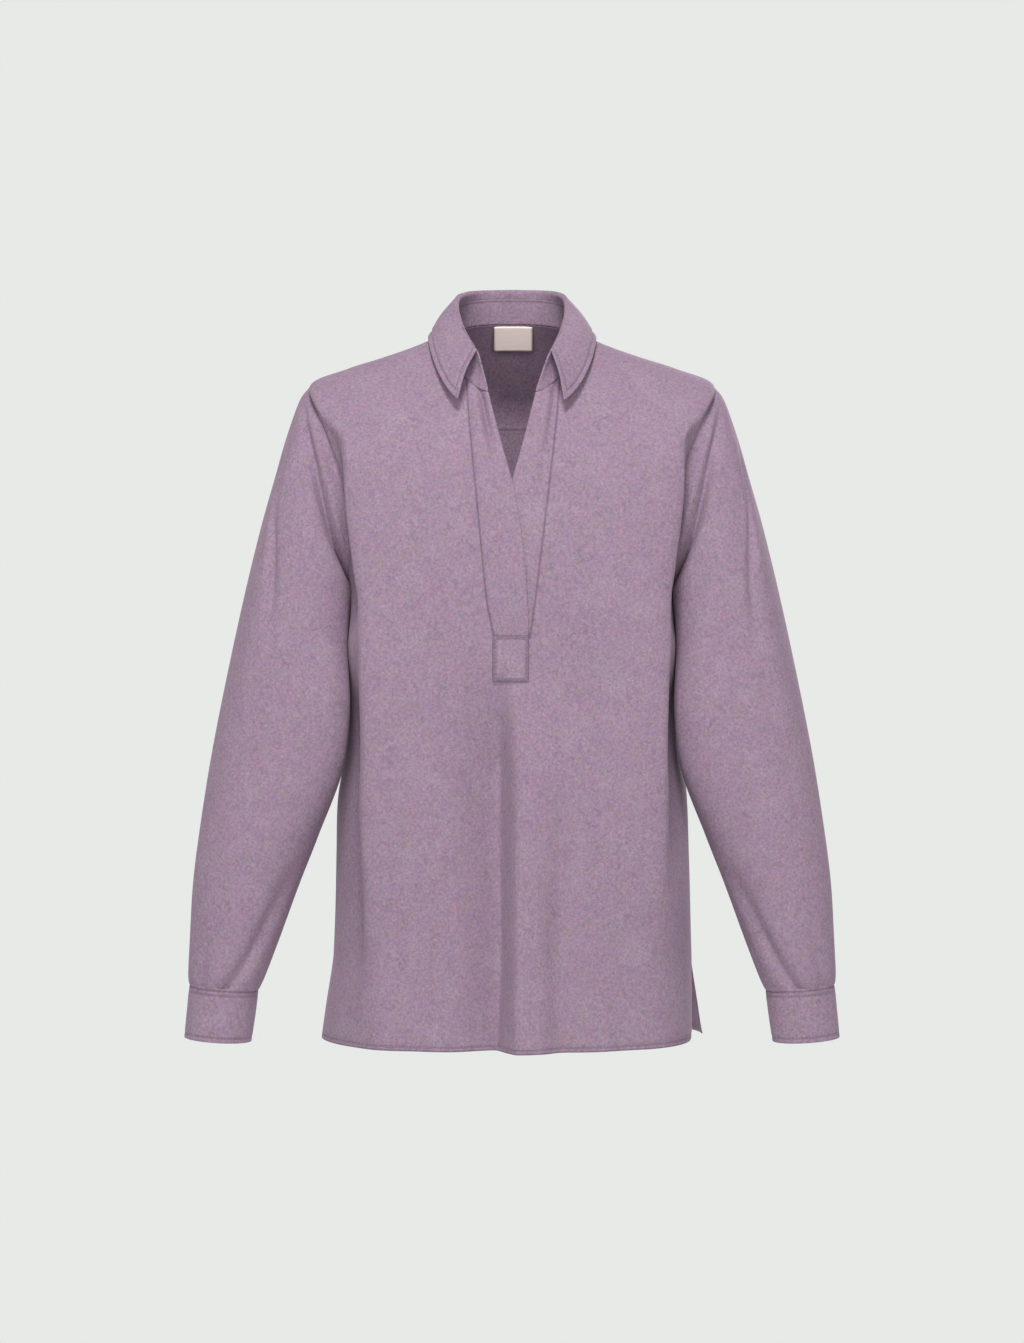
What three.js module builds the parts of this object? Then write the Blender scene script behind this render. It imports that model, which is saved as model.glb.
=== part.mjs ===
// A long-sleeved popover shirt in brushed cotton, hollow and open as when it is worn.
// Millimetres, +Z up. The front faces -Y and the wearer's left side is +X.
// The origin is the middle of the neck, level with the tops of the shoulders.
// Every piece is a wall of cloth around a middle surface that a function gives:
// the body's, a sleeve's, a cuff's or the collar's.
import * as THREE from "three";

const SHELL = 1.2; // one layer of shirting with its turned seams, as a wall
const BAND = 1.6; // placket bands and tab, two layers
const FIRM = 2.0; // collar and cuffs, two layers and interlining
const LABEL = 1.0;
const GAP = 0.3; // between pieces that are sewn together
const ARMHOLE_GAP = 1; // a panel's edge at the armhole, where the sleeve leaves at an angle

const radians = THREE.MathUtils.degToRad;
const QUARTER = Math.PI / 2;

// The body's rings, from the neckline out over the shoulders and down to the hem.
// front, side and back are the ring's heights there; half, ahead and behind are its reach sideways,
// forward and backward; square fills out its front corners, and a larger saddle keeps the height of
// its front and back further round.
const BODY = [
  { front: -62, side: 5, back: 22, half: 69, ahead: 80, behind: 62, square: 0, saddle: 3 },
  { front: -84, side: -7, back: 2, half: 97, ahead: 90, behind: 86, square: 0, saddle: 3 },
  { front: -104, side: -18, back: -24, half: 128, ahead: 98, behind: 102, square: 0.01, saddle: 2.7 },
  { front: -123, side: -30, back: -53, half: 165, ahead: 105, behind: 110, square: 0.03, saddle: 2.4 },
  { front: -141, side: -46.5, back: -84, half: 201, ahead: 110, behind: 114, square: 0.05, saddle: 2.2 },
  { front: -162, side: -80, back: -116, half: 191, ahead: 114, behind: 115, square: 0.07, saddle: 2 },
  { front: -196, side: -153, back: -164, half: 179, ahead: 118, behind: 114, square: 0.09, saddle: 2 },
  { front: -234, side: -229, back: -220, half: 164.5, ahead: 120, behind: 111, square: 0.105, saddle: 2 },
  { front: -264, side: -262, back: -264, half: 158.5, ahead: 121, behind: 108, square: 0.115, saddle: 2 },
  { front: -310, side: -310, back: -310, half: 161, ahead: 121, behind: 107, square: 0.12, saddle: 2 },
  { front: -360, side: -360, back: -360, half: 164, ahead: 122, behind: 108, square: 0.12, saddle: 2 },
  { front: -410, side: -410, back: -410, half: 167, ahead: 124, behind: 110, square: 0.115, saddle: 2 },
  { front: -458, side: -458, back: -458, half: 174.5, ahead: 126, behind: 113, square: 0.1, saddle: 2 },
  { front: -510, side: -510, back: -510, half: 176, ahead: 127, behind: 117, square: 0.09, saddle: 2 },
  { front: -565, side: -565, back: -565, half: 177, ahead: 128, behind: 121, square: 0.075, saddle: 2 },
  { front: -615, side: -615, back: -615, half: 178.5, ahead: 129, behind: 124, square: 0.06, saddle: 2 },
  { front: -655, side: -655, back: -655, half: 180, ahead: 130, behind: 126, square: 0.055, saddle: 2 },
  { front: -696, side: -694, back: -694, half: 181.5, ahead: 132, behind: 128, square: 0.05, saddle: 2 },
];
const BACK_SQUARE = 0.6; // the back's corners are that much of the front's
const TIP_ROW = 4; // the ring through the shoulder tips, where the armholes begin
const UNDERARM_ROW = 8; // the ring through the underarm points
const SLIT_ROW = 15; // where the side seams end and the slits begin
const HEM_ROW = 17;
const ARMHOLE_SCOOP = radians(28); // how far the armhole cuts in from the side
const YOKE_ROW = 3.9; // the yoke's seam at the centre back
const YOKE_CORNER = 5; // the row at which that seam meets the armholes

// Folds of the body, from one row to another. angles are places along one, in degrees from the centre
// front; height is outward, fading in over rise rows and out over fall; inner and outer are its widths
// toward and away from the centre front, in degrees. One with both is there on each side alike.
const EDGE = [50, 52, 50, 53, 55, 51, 46, 43, 41, 40];
const HOLLOW = [62, 58, 65, 74, 79, 77, 75, 74];
const BODY_FOLDS = [
  // The rounded edge of the front beside each sleeve, and the hollow that the sleeve hangs in.
  { from: 4, to: 13, rise: 2, fall: 3, angles: EDGE, height: 6, inner: 14, outer: 6, both: true },
  { from: 5, to: 13.6, rise: 2.5, fall: 1.6, angles: HOLLOW, height: -11, inner: 9, outer: 9, both: true },
  // Below the tab: the deep trough, the ridge beside it, a second trough and the right side's ridge.
  { from: 9.3, to: 19, rise: 7, fall: 1, angles: [-2, -6, -10.7], height: -16, inner: 6, outer: 10 },
  { from: 9.3, to: 19, rise: 7, fall: 1, angles: [4, 6, 8], height: 13, inner: 6, outer: 12 },
  { from: 13, to: 19, rise: 4, fall: 1, angles: [15, 18], height: -6, inner: 5, outer: 7 },
  { from: 10.5, to: 19, rise: 5, fall: 1, angles: [-38, -37], height: 7, inner: 10, outer: 9 },
  // The back's two troughs and two ridges, from the shoulder blades down.
  { from: 6, to: 19, rise: 8, fall: 1, angles: [168, 163], height: -11, inner: 9, outer: 8 },
  { from: 7, to: 19, rise: 8, fall: 1, angles: [186, 189], height: 9, inner: 10, outer: 9 },
  { from: 8, to: 19, rise: 6, fall: 1, angles: [208, 213], height: -9, inner: 8, outer: 9 },
  { from: 9, to: 19, rise: 6, fall: 1, angles: [144, 138], height: 6, inner: 9, outer: 9 },
];

// Below the slits' tops the four free corners part: each spreads sideways and forward or backward.
const FLARE = {
  front: { right: 8, left: -3.5, push: -9 },
  back: { right: -3, left: 9.5, push: 9 },
};
const HEM_CORNER = { radius: 20, panel: 230, row: 39 }; // of the front; half its width, the last row's height

// The placket's two seams with the front, as distances from the centre front.
const SEAMS = { right: { side: -1, top: 44.5, low: 24.3 }, left: { side: 1, top: 47, low: 22.3 } };
const SLOT_ROW = 8.8; // the slot in the front ends here, under the tab
const SLOT_HALF = 17; // the slot's half width at that end
const CROSSING = -145; // height at which the two bands meet
const FREE_TOP = 23.6; // from the centre front to a band's free edge at the neck
const FREE_LOW = 15.2; // how far each free edge has crossed the centre at the tab
const TAB = { left: -18, right: 15.5, top: -298.4, bottom: -341 };

// Rings of the right sleeve from the armhole, which is its ring 0, to the cuff's seam.
// outer and inner are its points away from and next to the body, y its middle and depth half its depth.
const SLEEVE = [
  { outerX: 211, outerZ: -61, innerX: 166, innerZ: -260, y: -3, depth: 70 },
  { outerX: 223.7, outerZ: -96.7, innerX: 166.5, innerZ: -267, y: -5, depth: 73 },
  { outerX: 235.5, outerZ: -139, innerX: 164.5, innerZ: -277, y: -9, depth: 73 },
  { outerX: 248.5, outerZ: -187, innerX: 162, innerZ: -292, y: -15, depth: 70 },
  { outerX: 264, outerZ: -254, innerX: 160.5, innerZ: -318, y: -25, depth: 64 },
  { outerX: 281.3, outerZ: -339, innerX: 161.5, innerZ: -365, y: -38, depth: 56 },
  { outerX: 296, outerZ: -418.6, innerX: 164.5, innerZ: -424, y: -47, depth: 50 },
  { outerX: 307.3, outerZ: -494, innerX: 191, innerZ: -493, y: -51, depth: 47 },
  { outerX: 313, outerZ: -543, innerX: 209.4, innerZ: -540, y: -52, depth: 44 },
  { outerX: 316, outerZ: -595.5, innerX: 229, innerZ: -593.5, y: -51, depth: 41 },
  { outerX: 317.6, outerZ: -628, innerX: 243, innerZ: -630, y: -50, depth: 38 },
  { outerX: 316.2, outerZ: -640, innerX: 250, innerZ: -645, y: -50, depth: 34 },
];
const SLEEVE_SIDES = 24; // corners of a sleeve's ring
const ARMHOLE_ROWS = steps(TIP_ROW, UNDERARM_ROW, SLEEVE_SIDES / 2); // a panel's row at each of them
const BACK_COLUMNS = 18; // cells across the back and the yoke, so that their seam meets
const NECK_ROW = 0.03; // the panels and bands start that far below the collar's seam
const CUFF = [
  { outerX: 316.3, outerZ: -640.2, innerX: 250.2, innerZ: -645.2, y: -50, depth: 33.8 },
  { outerX: 318.6, outerZ: -665, innerX: 253.4, innerZ: -670, y: -50.5, depth: 33 },
  { outerX: 321, outerZ: -689.5, innerX: 257, innerZ: -694, y: -51, depth: 33 },
];

// Stations of the collar from the centre back to a front end. neck is the angle of the neck seam there.
// leftX or rightX, y and z are the crest of its fold; the leaf's edge lies over the body's surface
// at edgeAngle and edgeRow, lift above it.
const COLLAR = [
  { neck: 180, leftX: 0, rightX: 0, y: 59.5, z: 57, edgeAngle: 180, edgeRow: 0.42, lift: 5 },
  { neck: 152, leftX: 24.5, rightX: 24.5, y: 56.5, z: 56, edgeAngle: 153, edgeRow: 0.42, lift: 5 },
  { neck: 125, leftX: 42.5, rightX: 42.5, y: 41, z: 52.5, edgeAngle: 127, edgeRow: 0.44, lift: 5 },
  { neck: 100, leftX: 51.5, rightX: 53, y: 16, z: 44.5, edgeAngle: 104, edgeRow: 0.46, lift: 4.5 },
  { neck: 77, leftX: 53, rightX: 53, y: -10, z: 28, edgeAngle: 82, edgeRow: 0.54, lift: 4 },
  { neck: 49, leftX: 47, rightX: 45.5, y: -39, z: 4.5, edgeAngle: 58, edgeRow: 0.76, lift: 4.5 },
  { neck: 20, leftX: 37, rightX: 33.5, y: -69, z: -18, edgeAngle: 33, edgeRow: 0.99, lift: 7 },
];
const STAND_SHARE = 0.74; // of the way from the neck seam to the crest is the stand
const ROLL = 2.3; // radius of the collar's fold
const LABEL_SIZE = { left: -18.4, right: 20.4, drop: 25 };
const FIRST_ROW = 32; // the back's first row of the body, in millimetres along the cloth

// A smooth curve through a table's named column, at any place between its rows.
function column(table, name, at) {
  const last = table.length - 1;
  const row = THREE.MathUtils.clamp(Math.floor(at), 0, last - 1);
  const [before, start, end, after] = [-1, 0, 1, 2].map(
    (step) => table[THREE.MathUtils.clamp(row + step, 0, last)][name],
  );
  return cubic(before, start, end, after, at - row);
}

function cubic(before, start, end, after, part) {
  const slope = (end - before) * part;
  const bend = (2 * before - 5 * start + 4 * end - after) * part ** 2;
  const twist = (3 * start - before - 3 * end + after) * part ** 3;
  return start + (slope + bend + twist) / 2;
}

function smooth(part) {
  return THREE.MathUtils.smoothstep(part, 0, 1);
}

// How far one fold moves the surface outward at a row and an angle in degrees.
function foldHeight(fold, degrees, row) {
  const along = THREE.MathUtils.clamp((row - fold.from) / (fold.to - fold.from), 0, 1);
  const stations = fold.angles.map((angle) => ({ angle }));
  const centre = column(stations, "angle", along * (stations.length - 1));
  const off = THREE.MathUtils.euclideanModulo(degrees - centre + 180, 360) - 180;
  const away = Math.sign(off) === (centre < 0 || centre > 180 ? -1 : 1);
  const width = away ? fold.outer : fold.inner;
  const fade = smooth((row - fold.from) / fold.rise) * smooth((fold.to - row) / fold.fall);
  return fold.height * fade * Math.exp(-((off / width) ** 2));
}

// The body's middle surface. angle runs from the centre front, positive to the wearer's left.
function bodyPoint(angle, row) {
  const [sine, cosine] = [Math.sin(angle), Math.cos(angle)];
  const square = column(BODY, "square", row) * (cosine > 0 ? 1 : BACK_SQUARE);
  const depth = column(BODY, cosine > 0 ? "ahead" : "behind", row);
  const side = column(BODY, "side", row);
  const middle = column(BODY, cosine > 0 ? "front" : "back", row);
  const point = new THREE.Vector3(
    (column(BODY, "half", row) * (sine + square * Math.sin(3 * angle))) / (1 - square),
    (-depth * (cosine - square * Math.cos(3 * angle))) / (1 - square),
    middle + (side - middle) * Math.abs(sine) ** column(BODY, "saddle", row),
  );
  const degrees = THREE.MathUtils.radToDeg(angle);
  const heights = BODY_FOLDS.map((fold) => (
    foldHeight(fold, degrees, row) + (fold.both ? foldHeight(fold, -degrees, row) : 0)));
  const out = heights.reduce((sum, height) => sum + height);
  return point.add(new THREE.Vector3(sine * out, -cosine * out, 0));
}

// A panel's middle surface: the body's, with the flare of the panel's free corners.
function panelPoint(panel) {
  return (angle, row) => {
    const point = bodyPoint(angle, row);
    const { right, left, push } = FLARE[panel];
    const open = smooth((row - SLIT_ROW) / (HEM_ROW - SLIT_ROW + 0.6)) * Math.abs(Math.sin(angle)) ** 10;
    point.x += open * (Math.sin(angle) > 0 ? left : -right);
    point.y += open * push;
    return point;
  };
}

// The angle from the centre front at which the body's ring at a row is x from the middle.
function angleAt(x, row) {
  let [near, far] = [0, QUARTER];
  for (let step = 0; step < 30; step += 1) {
    const middle = (near + far) / 2;
    if (bodyPoint(middle * Math.sign(x), row).x * Math.sign(x) < Math.abs(x)) near = middle;
    else far = middle;
  }
  return near * Math.sign(x);
}

function normalAt(surface, across, along) {
  const step = 1e-3;
  const right = surface(across + step, along).sub(surface(across - step, along));
  const down = surface(across, along + step).sub(surface(across, along - step));
  return down.cross(right).normalize();
}

// A closed wall of cloth. places is a grid of [across, along] for the surface; shift moves a place
// off it along its normal; keep says which cells are cloth; wrap joins the last column to the first.
function wall(surface, places, thickness, options = {}) {
  const { shift = () => 0, keep = () => true, wrap = false, turn = 1 } = options;
  const rows = places.length;
  const columns = places[0].length;
  const [positions, index] = [[], []];
  places.forEach((line, i) => line.forEach(([across, along], j) => {
    const normal = normalAt(surface, across, along).multiplyScalar(turn);
    const middle = surface(across, along).addScaledVector(normal, shift(i, j));
    positions.push(...middle.clone().addScaledVector(normal, thickness / 2).toArray());
    positions.push(...middle.clone().addScaledVector(normal, -thickness / 2).toArray());
  }));
  const cellColumns = wrap ? columns : columns - 1;
  const cloth = (i, j) => {
    const column = wrap ? THREE.MathUtils.euclideanModulo(j, columns) : j;
    return i >= 0 && i < rows - 1 && column >= 0 && column < cellColumns && keep(i, column);
  };
  const outside = (i, j) => 2 * (i * columns + THREE.MathUtils.euclideanModulo(j, columns));
  const quad = (a, b, c, d) => {
    if (turn > 0) index.push(a, b, c, a, c, d);
    else index.push(a, c, b, a, d, c);
  };
  for (let i = 0; i < rows - 1; i += 1) {
    for (let j = 0; j < cellColumns; j += 1) {
      if (!cloth(i, j)) continue;
      const [a, b, c, d] = [outside(i, j), outside(i + 1, j), outside(i + 1, j + 1), outside(i, j + 1)];
      quad(a, b, c, d);
      quad(a + 1, d + 1, c + 1, b + 1);
      if (!cloth(i, j - 1)) quad(b, a, a + 1, b + 1);
      if (!cloth(i, j + 1)) quad(d, c, c + 1, d + 1);
      if (!cloth(i - 1, j)) quad(a, d, d + 1, a + 1);
      if (!cloth(i + 1, j)) quad(c, b, b + 1, c + 1);
    }
  }
  const used = new Map();
  const kept = [];
  for (const vertex of index) {
    if (used.has(vertex)) continue;
    used.set(vertex, used.size);
    kept.push(...positions.slice(3 * vertex, 3 * vertex + 3));
  }
  const geometry = new THREE.BufferGeometry();
  geometry.setAttribute("position", new THREE.Float32BufferAttribute(kept, 3));
  geometry.setIndex(index.map((vertex) => used.get(vertex)));
  geometry.computeVertexNormals();
  return geometry;
}

// The angles of a ring's corners, from its outer line round by the front.
function around(sides) {
  return steps(0, 2 * Math.PI, sides).slice(0, -1);
}

// Evenly spaced numbers from one to another.
function steps(from, to, count) {
  return Array.from({ length: count + 1 }, (_, k) => THREE.MathUtils.lerp(from, to, k / count));
}

// How far round the armhole a row of the body is, from 0 at the shoulder tip to PI at the underarm.
function armholeTurn(row) {
  return THREE.MathUtils.clamp((row - TIP_ROW) / (UNDERARM_ROW - TIP_ROW), 0, 1) * Math.PI;
}

// From the centre front or back to a panel's edge at a row: shoulder seam, armhole, then side seam.
function halfSpan(row) {
  const turn = armholeTurn(row);
  const clearance = turn > 0 && turn < Math.PI ? ARMHOLE_GAP : GAP / 2;
  return QUARTER - ARMHOLE_SCOOP * Math.sin(turn) - clearance / column(BODY, "half", row);
}

// A seam of the placket, from the centre front, at a row.
function seamAngle(name, row) {
  const { side, top, low } = SEAMS[name];
  const height = column(BODY, "front", Math.min(row, SLOT_ROW));
  const [neck, bend, end] = [BODY[0].front, BODY[8].front, column(BODY, "front", SLOT_ROW)];
  const x = height > bend
    ? THREE.MathUtils.mapLinear(height, neck, bend, top, low)
    : THREE.MathUtils.mapLinear(height, bend, end, low, SLOT_HALF);
  return angleAt(side * x, row);
}

function frontGeometry() {
  const lowRows = [...steps(9.4, SLIT_ROW, 5), 16, 16.6, HEM_ROW];
  const rows = [NECK_ROW, 0.5, 1, 2, 3, ...ARMHOLE_ROWS, SLOT_ROW, ...lowRows];
  const shares = [...steps(0, 0.9, 8), 0.95, 0.98, 1];
  const middleCells = 3;
  const { radius, panel, row: lastRow } = HEM_CORNER;
  const places = rows.map((row) => {
    const seam = { right: seamAngle("right", row), left: seamAngle("left", row) };
    const half = (name, side) => {
      const start = seam[name] + (side * GAP) / column(BODY, "half", row);
      return shares.map((share) => {
        const inCorner = Math.max(radius - (1 - share) * panel, 0);
        const cut = radius - Math.sqrt(radius ** 2 - inCorner ** 2);
        const lifted = row - (Math.max(row - HEM_ROW + 1, 0) * cut) / lastRow;
        return [THREE.MathUtils.lerp(start, side * halfSpan(row), share), lifted];
      });
    };
    const rightHalf = half("right", -1).reverse();
    const leftHalf = half("left", 1);
    const between = steps(rightHalf.at(-1)[0], leftHalf[0][0], middleCells).slice(1, -1);
    return [...rightHalf, ...between.map((angle) => [angle, row]), ...leftHalf];
  });
  const slotRow = rows.indexOf(SLOT_ROW);
  const first = shares.length - 1;
  const keep = (i, j) => i >= slotRow || j < first || j >= first + middleCells;
  return wall(panelPoint("front"), places, SHELL, { keep });
}

// The yoke's seam: a share from 0 at the centre back to 1 or -1 at the armholes gives its row.
const YOKE_SPAN = QUARTER - ARMHOLE_SCOOP * Math.sin(armholeTurn(YOKE_CORNER));
function yokeRow(share) {
  return YOKE_ROW + (YOKE_CORNER - YOKE_ROW) * share ** 2;
}

function yokeGeometry() {
  const turns = ARMHOLE_ROWS.filter((row) => row <= YOKE_CORNER + 1e-6).map(armholeTurn);
  const edge = turns.map((turn) => ({
    angle: QUARTER + ARMHOLE_SCOOP * Math.sin(turn) + (turn === 0 ? 1e-3 : 0),
    end: TIP_ROW - 0.02 + ((UNDERARM_ROW - TIP_ROW) * turn) / Math.PI,
  }));
  const middle = steps(-1, 1, BACK_COLUMNS).slice(1, -1).map((share) => ({
    angle: Math.PI + share * YOKE_SPAN,
    end: yokeRow(share) - 0.004,
  }));
  const otherEdge = edge.map(({ angle, end }) => ({ angle: 2 * Math.PI - angle, end })).reverse();
  const places = steps(0, 1, 6).map((share) => [...edge, ...middle, ...otherEdge].map(({ angle, end }) => [
    angle, THREE.MathUtils.lerp(NECK_ROW, end, share)]));
  return wall(panelPoint("back"), places, SHELL);
}

function backGeometry() {
  const rows = [YOKE_CORNER + 0.006, ...ARMHOLE_ROWS.filter((row) => row > YOKE_CORNER + 0.1),
    ...steps(UNDERARM_ROW, SLIT_ROW, 7).slice(1), 16, HEM_ROW];
  const places = rows.map((row) => steps(-1, 1, BACK_COLUMNS).map((share) => {
    const angle = Math.PI + share * halfSpan(row);
    const toYoke = YOKE_CORNER - yokeRow(share);
    const left = THREE.MathUtils.clamp((UNDERARM_ROW - row) / (UNDERARM_ROW - YOKE_CORNER), 0, 1);
    return [angle, row - toYoke * left];
  }));
  return wall(panelPoint("back"), places, SHELL);
}

// A placket band: across runs from 0 at its seam to 1 at its free edge. It rolls a little where the
// neck stands open, and lies above or below the other band from where they cross.
function bandSurface(name) {
  return (across, row) => {
    const { side } = SEAMS[name];
    const height = column(BODY, "front", row);
    const low = column(BODY, "front", SLOT_ROW);
    const past = THREE.MathUtils.clamp((CROSSING - height) / (CROSSING - low), 0, 1);
    const free = height > CROSSING
      ? THREE.MathUtils.mapLinear(height, BODY[0].front, CROSSING, FREE_TOP, 0)
      : -FREE_LOW * (1 - (1 - past) ** 2);
    const seam = seamAngle(name, row) - (side * GAP) / 2 / column(BODY, "half", row);
    const angle = THREE.MathUtils.lerp(seam, freeAngle(side * free, row), across);
    const roll = 4 * smooth(row / 1.5) * smooth((5 - row) / 4);
    const lap = (name === "right" ? 1.3 : -1.3) * smooth(across / 0.1) * smooth((row - 1) / 3);
    const out = roll * (Math.sin(Math.PI * across) - 0.8 * across ** 2) + lap;
    const normal = normalAt(bodyPoint, angle, row);
    return bodyPoint(angle, row).addScaledVector(normal, out);
  };
}

function freeAngle(x, row) {
  return Math.abs(x) < 1e-6 ? 0 : angleAt(x, row);
}

function bandGeometry(name) {
  const rows = [NECK_ROW, 0.6, 1.2, 2, 3, 4, 5, 6, 7, 8, 8.4, SLOT_ROW - 0.08];
  const places = rows.map((row) => [0, 0.12, 0.4, 0.7, 1].map((across) => [across, row]));
  return wall(bandSurface(name), places, BAND, { turn: name === "right" ? 1 : -1 });
}

// The tab that closes the placket's lower end, sewn on over the front.
function tabGeometry() {
  const rowAt = (height) => 8 + (height - BODY[8].front) / (BODY[9].front - BODY[8].front);
  const places = steps(rowAt(TAB.top), rowAt(TAB.bottom), 4).map((row) => (
    steps(TAB.left, TAB.right, 4).map((x) => [freeAngle(x, row), row])));
  const out = SHELL / 2 + GAP + BAND / 2;
  return wall(bodyPoint, places, BAND, { shift: () => out });
}

function labelGeometry() {
  const rowAt = (drop) => 2 * NECK_ROW + drop / FIRST_ROW;
  const places = steps(0, LABEL_SIZE.drop, 3).map((drop) => (
    steps(LABEL_SIZE.left, LABEL_SIZE.right, 4).map((x) => [
      Math.PI - Math.asin(x / column(BODY, "half", rowAt(drop))), rowAt(drop)])));
  const inward = -(SHELL / 2 + 3 * GAP + LABEL / 2);
  return wall(panelPoint("back"), places.map((line) => line.reverse()), LABEL, { shift: () => inward });
}

// A sleeve's middle surface. round is 0 at the outer line, a quarter turn at the front.
function sleeveRing(table, side, round, ring) {
  const { outerX, outerZ, innerX, innerZ, y, depth } = table[ring];
  const [cosine, sine] = [Math.cos(round), Math.sin(round)];
  return new THREE.Vector3(
    side * ((outerX + innerX) / 2 + ((outerX - innerX) / 2) * cosine),
    y - depth * sine,
    (outerZ + innerZ) / 2 + ((outerZ - innerZ) / 2) * cosine,
  );
}

function armholePoint(side, round) {
  const turn = THREE.MathUtils.euclideanModulo(round, 2 * Math.PI);
  const isFront = turn <= Math.PI;
  const part = isFront ? turn : 2 * Math.PI - turn;
  const row = TIP_ROW + ((UNDERARM_ROW - TIP_ROW) * part) / Math.PI;
  const scoop = ARMHOLE_SCOOP * Math.sin(part);
  return bodyPoint(side * (isFront ? QUARTER - scoop : QUARTER + scoop), row);
}

function sleeveSurface(side) {
  const ringPoint = (round, ring) => (ring === 0
    ? armholePoint(side, round)
    : sleeveRing(SLEEVE, side, round, Math.min(ring, SLEEVE.length) - 1));
  return (round, along) => {
    const ring = THREE.MathUtils.clamp(Math.floor(along), 0, SLEEVE.length - 1);
    const [start, end, after] = [0, 1, 2].map((step) => ringPoint(round, ring + step));
    const before = ring > 0 ? ringPoint(round, ring - 1) : start.clone().multiplyScalar(2).sub(end);
    const part = along - ring;
    return new THREE.Vector3(...["x", "y", "z"].map((axis) => (
      cubic(before[axis], start[axis], end[axis], after[axis], part))));
  };
}

function sleeveGeometry(side) {
  const rings = [0.1, 0.5, ...steps(1.2, 9.2, 14), 10, 10.6, 11, 11.5, SLEEVE.length - 0.03];
  const places = rings.map((ring) => around(SLEEVE_SIDES).map((round) => [round, ring]));
  return wall(sleeveSurface(side), places, SHELL, { wrap: true, turn: side });
}

function cuffGeometry(side) {
  const surface = (round, along) => {
    const section = Object.fromEntries(Object.keys(CUFF[0]).map((name) => [name, column(CUFF, name, along)]));
    return sleeveRing([section], side, round, 0);
  };
  const places = steps(0, CUFF.length - 1, 3).map((along) => (
    around(SLEEVE_SIDES).map((round) => [round, along])));
  return wall(surface, places, FIRM, { wrap: true, turn: side });
}

// The collar's lines at a station from -1, the wearer's right front end, to 1, the left one.
function collarLines(station) {
  const side = station < 0 ? -1 : 1;
  const at = Math.abs(station) * (COLLAR.length - 1);
  const value = (name) => column(COLLAR, name, at);
  const neck = bodyPoint(side * radians(value("neck")), 0).add(new THREE.Vector3(0, 0, FIRM / 2 + GAP));
  const crest = new THREE.Vector3(side * value(side > 0 ? "leftX" : "rightX"), value("y"), value("z"));
  const [angle, row] = [side * radians(value("edgeAngle")), value("edgeRow")];
  const edge = bodyPoint(angle, row).addScaledVector(normalAt(bodyPoint, angle, row), value("lift"));
  return { neck, crest, edge, top: neck.clone().lerp(crest, STAND_SHARE) };
}

function standSurface(station, up) {
  const { neck, top } = collarLines(station);
  return neck.lerp(top, up);
}

// The fall: across 0 is its seam with the stand, 1 the leaf's edge, with a tight roll at the crest.
function fallSurface(station, across) {
  const { top, crest, edge } = collarLines(station);
  const away = new THREE.Vector3(edge.x - crest.x, edge.y - crest.y, 0).normalize();
  const up = new THREE.Vector3(0, 0, 1);
  const knots = [
    top,
    crest.clone().addScaledVector(up, -ROLL),
    crest.clone().addScaledVector(away, ROLL),
    crest.clone().addScaledVector(away, 2 * ROLL).addScaledVector(up, -ROLL),
    crest.clone().lerp(edge, 0.5).addScaledVector(away, 4).addScaledVector(up, 2),
    edge,
  ];
  const place = across * (knots.length - 1);
  const start = THREE.MathUtils.clamp(Math.floor(place), 0, knots.length - 2);
  const pick = (k) => knots[THREE.MathUtils.clamp(k, 0, knots.length - 1)];
  const around = [-1, 0, 1, 2].map((step) => pick(start + step));
  return new THREE.Vector3(...["x", "y", "z"].map((axis) => (
    cubic(...around.map((knot) => knot[axis]), place - start))));
}

function standGeometry() {
  const places = steps(0, 1, 3).map((up) => steps(-1, 1, 28).map((station) => [station, up]));
  return wall(standSurface, places, FIRM, { turn: -1 });
}

function fallGeometry() {
  const stops = [0.035, 0.2, 0.3, 0.4, 0.5, 0.6, 0.7, 0.8, 0.9, 1];
  const places = stops.map((across) => steps(-1, 1, 28).map((station) => [station, across]));
  return wall(fallSurface, places, FIRM, { turn: -1 });
}

const shirting = () => new THREE.MeshStandardMaterial({ color: "#a58ba5", roughness: 0.92, metalness: 0 });
const satin = () => new THREE.MeshStandardMaterial({ color: "#d9cdc8", roughness: 0.6, metalness: 0 });

const shirt = new THREE.Group();
function add(name, geometry, material = shirting()) {
  const mesh = new THREE.Mesh(geometry, material);
  mesh.name = name;
  shirt.add(mesh);
}

add("front", frontGeometry());
add("back", backGeometry());
add("yoke", yokeGeometry());
add("band_right", bandGeometry("right"));
add("band_left", bandGeometry("left"));
add("placket_tab", tabGeometry());
add("sleeve_right", sleeveGeometry(-1));
add("sleeve_left", sleeveGeometry(1));
add("cuff_right", cuffGeometry(-1));
add("cuff_left", cuffGeometry(1));
add("collar_stand", standGeometry());
add("collar_fall", fallGeometry());
add("neck_label", labelGeometry(), satin());

export default shirt;
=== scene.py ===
import math

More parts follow.
